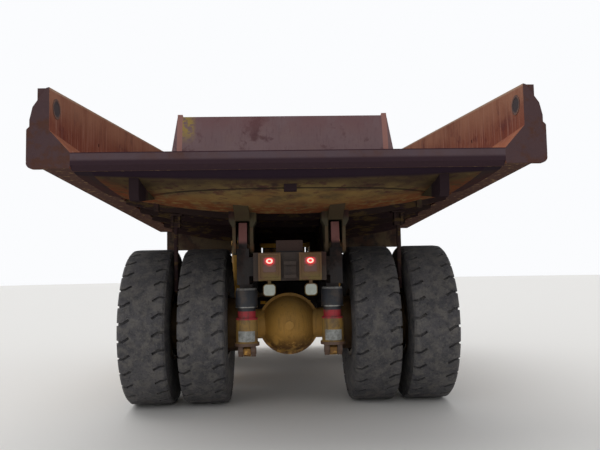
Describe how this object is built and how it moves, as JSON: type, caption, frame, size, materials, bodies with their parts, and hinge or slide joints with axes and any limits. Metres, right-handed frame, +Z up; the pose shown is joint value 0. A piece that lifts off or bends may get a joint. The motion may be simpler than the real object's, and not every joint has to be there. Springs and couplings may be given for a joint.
{
  "type": "rigid mining dump truck",
  "caption": "Rigid mining dump truck with a tipping body, canopy and cab, on twin rear tyres, worn and rusted.",
  "frame": {"origin": "on the ground, at the middle of the truck's length and width", "axes": "+X towards the truck's right, +Y forward, +Z up"},
  "size_m": [5.2902, 9.25, 5.0101],
  "materials": {
    "yellow": "worn, dusty paint",
    "ochre": "dirty paint with rust",
    "rust": "rusted steel",
    "dark": "matt",
    "steel": "oiled",
    "tyre": "dusty",
    "glass": "clear",
    "red_lens": "lit",
    "clear_lens": "frosted",
    "vinyl": "worn"
  },
  "bodies": {
    "chassis": {"frame": "ochre", "bumper": "yellow", "lamp_panel": "ochre", "tail_lamps": "red_lens", "white_lamps": "clear_lens", "rear_axle": "ochre", "axle_links": "ochre", "rear_struts": "yellow", "front_struts": "steel", "engine": "yellow", "driveline": "steel", "radiator": "dark", "grille": "dark", "hood": "yellow", "deck": "ochre", "handrails": "yellow", "ladders": "yellow", "cab": "yellow", "cab_glass": "glass", "cab_seat": "vinyl", "mirrors": "dark", "air_cleaners": "yellow", "exhaust": "rust", "fuel_tank": "yellow", "hydraulic_tank": "yellow", "battery_box": "yellow"},
    "door": {"cab_door": "yellow", "door_glass": "glass"},
    "tie_rod_body": {"tie_rod": "ochre"},
    "bed": {"bed_floor": "rust", "bed_sides": "rust", "bed_headboard": "rust", "bed_canopy": "rust", "bed_beams": "ochre", "rock_ejectors": "rust"},
    "knuckle_left_body": {"knuckle_left": "ochre"},
    "front_wheel_left_body": {"front_wheel_left": "yellow", "front_tyre_left": "tyre"},
    "rear_wheel_left_body": {"rear_wheel_left": "yellow", "rear_tyre_left": "tyre"},
    "steer_barrel_left_body": {"steer_barrel_left": "ochre"},
    "steer_rod_left_body": {"steer_rod_left": "steel"},
    "hoist_barrel_left_body": {"hoist_barrel_left": "yellow"},
    "hoist_tube_left_body": {"hoist_tube_left": "steel"},
    "hoist_rod_left_body": {"hoist_rod_left": "steel"},
    "knuckle_right_body": {"knuckle_right": "ochre"},
    "front_wheel_right_body": {"front_wheel_right": "yellow", "front_tyre_right": "tyre"},
    "rear_wheel_right_body": {"rear_wheel_right": "yellow", "rear_tyre_right": "tyre"},
    "steer_barrel_right_body": {"steer_barrel_right": "ochre"},
    "steer_rod_right_body": {"steer_rod_right": "steel"},
    "hoist_barrel_right_body": {"hoist_barrel_right": "yellow"},
    "hoist_tube_right_body": {"hoist_tube_right": "steel"},
    "hoist_rod_right_body": {"hoist_rod_right": "steel"}
  },
  "joints": [
    {"name": "bed_tip", "type": "hinge", "parent": "chassis", "child": "bed", "pos_m": [0, -3.08, 2.12], "axis": [1, 0, 0], "range_deg": [0, 48]},
    {"name": "door_swing", "type": "hinge", "parent": "chassis", "child": "door", "pos_m": [-1.946, 3.21, 3.4], "axis": [0, 0, -1], "range_deg": [0, 85]},
    {"name": "steer_left", "type": "hinge", "parent": "chassis", "child": "knuckle_left_body", "pos_m": [-1.18, 2.47, 1.075], "axis": [0, 0, 1], "range_deg": [-38, 38]},
    {"name": "front_roll_left", "type": "hinge", "parent": "knuckle_left_body", "child": "front_wheel_left_body", "pos_m": [-1.74, 2.47, 1.075], "axis": [1, 0, 0], "continuous": true},
    {"name": "rear_roll_left", "type": "hinge", "parent": "chassis", "child": "rear_wheel_left_body", "pos_m": [-1.51, -1.83, 1.075], "axis": [1, 0, 0], "continuous": true},
    {"name": "steer_barrel_swing_left", "type": "hinge", "parent": "chassis", "child": "steer_barrel_left_body", "pos_m": [-0.15, 1.99, 0.946], "axis": [0, 0, 1], "range_deg": [-2.5, 2.5]},
    {"name": "steer_rod_slide_left", "type": "slide", "parent": "steer_barrel_left_body", "child": "steer_rod_left_body", "axis": [-0.9996, 0.0291, 0], "range_m": [-0.27, 0.27]},
    {"name": "hoist_barrel_swing_left", "type": "hinge", "parent": "chassis", "child": "hoist_barrel_left_body", "pos_m": [-0.8, -0.33, 1.05], "axis": [1, 0, 0], "range_deg": [0, 24.7]},
    {"name": "hoist_tube_slide_left", "type": "slide", "parent": "hoist_barrel_left_body", "child": "hoist_tube_left_body", "axis": [0, 0.1414, 0.9899], "range_m": [0, 1.13]},
    {"name": "hoist_rod_slide_left", "type": "slide", "parent": "hoist_tube_left_body", "child": "hoist_rod_left_body", "axis": [0, 0.1414, 0.9899], "range_m": [0, 1.13]},
    {"name": "steer_right", "type": "hinge", "parent": "chassis", "child": "knuckle_right_body", "pos_m": [1.18, 2.47, 1.075], "axis": [0, 0, 1], "range_deg": [-38, 38]},
    {"name": "front_roll_right", "type": "hinge", "parent": "knuckle_right_body", "child": "front_wheel_right_body", "pos_m": [1.74, 2.47, 1.075], "axis": [1, 0, 0], "continuous": true},
    {"name": "rear_roll_right", "type": "hinge", "parent": "chassis", "child": "rear_wheel_right_body", "pos_m": [1.51, -1.83, 1.075], "axis": [1, 0, 0], "continuous": true},
    {"name": "steer_barrel_swing_right", "type": "hinge", "parent": "chassis", "child": "steer_barrel_right_body", "pos_m": [0.15, 1.99, 0.946], "axis": [0, 0, 1], "range_deg": [-2.5, 2.5]},
    {"name": "steer_rod_slide_right", "type": "slide", "parent": "steer_barrel_right_body", "child": "steer_rod_right_body", "axis": [0.9996, 0.0291, 0], "range_m": [-0.27, 0.27]},
    {"name": "hoist_barrel_swing_right", "type": "hinge", "parent": "chassis", "child": "hoist_barrel_right_body", "pos_m": [0.8, -0.33, 1.05], "axis": [1, 0, 0], "range_deg": [0, 24.7]},
    {"name": "hoist_tube_slide_right", "type": "slide", "parent": "hoist_barrel_right_body", "child": "hoist_tube_right_body", "axis": [0, 0.1414, 0.9899], "range_m": [0, 1.13]},
    {"name": "hoist_rod_slide_right", "type": "slide", "parent": "hoist_tube_right_body", "child": "hoist_rod_right_body", "axis": [0, 0.1414, 0.9899], "range_m": [0, 1.13]},
    {"name": "tie_rod_swing", "type": "hinge", "parent": "knuckle_left_body", "child": "tie_rod_body", "pos_m": [-1.18, 2.02, 0.808], "axis": [0, 0, 1], "range_deg": [-38, 38]}
  ],
  "couplings": [
    {"joint": "hoist_barrel_swing_left", "follows": "bed_tip", "ratio": 0.5107},
    {"joint": "hoist_tube_slide_left", "follows": "bed_tip", "m_per_rad": 1.3449},
    {"joint": "hoist_rod_slide_left", "follows": "bed_tip", "m_per_rad": 1.3449},
    {"joint": "steer_barrel_swing_left", "follows": "steer_left", "ratio": -0.06},
    {"joint": "steer_rod_slide_left", "follows": "steer_left", "m_per_rad": -0.4},
    {"joint": "hoist_barrel_swing_right", "follows": "bed_tip", "ratio": 0.5107},
    {"joint": "hoist_tube_slide_right", "follows": "bed_tip", "m_per_rad": 1.3449},
    {"joint": "hoist_rod_slide_right", "follows": "bed_tip", "m_per_rad": 1.3449},
    {"joint": "steer_barrel_swing_right", "follows": "steer_left", "ratio": -0.06},
    {"joint": "steer_rod_slide_right", "follows": "steer_left", "m_per_rad": 0.4},
    {"joint": "steer_right", "follows": "steer_left", "ratio": 1},
    {"joint": "tie_rod_swing", "follows": "steer_left", "ratio": -1}
  ]
}
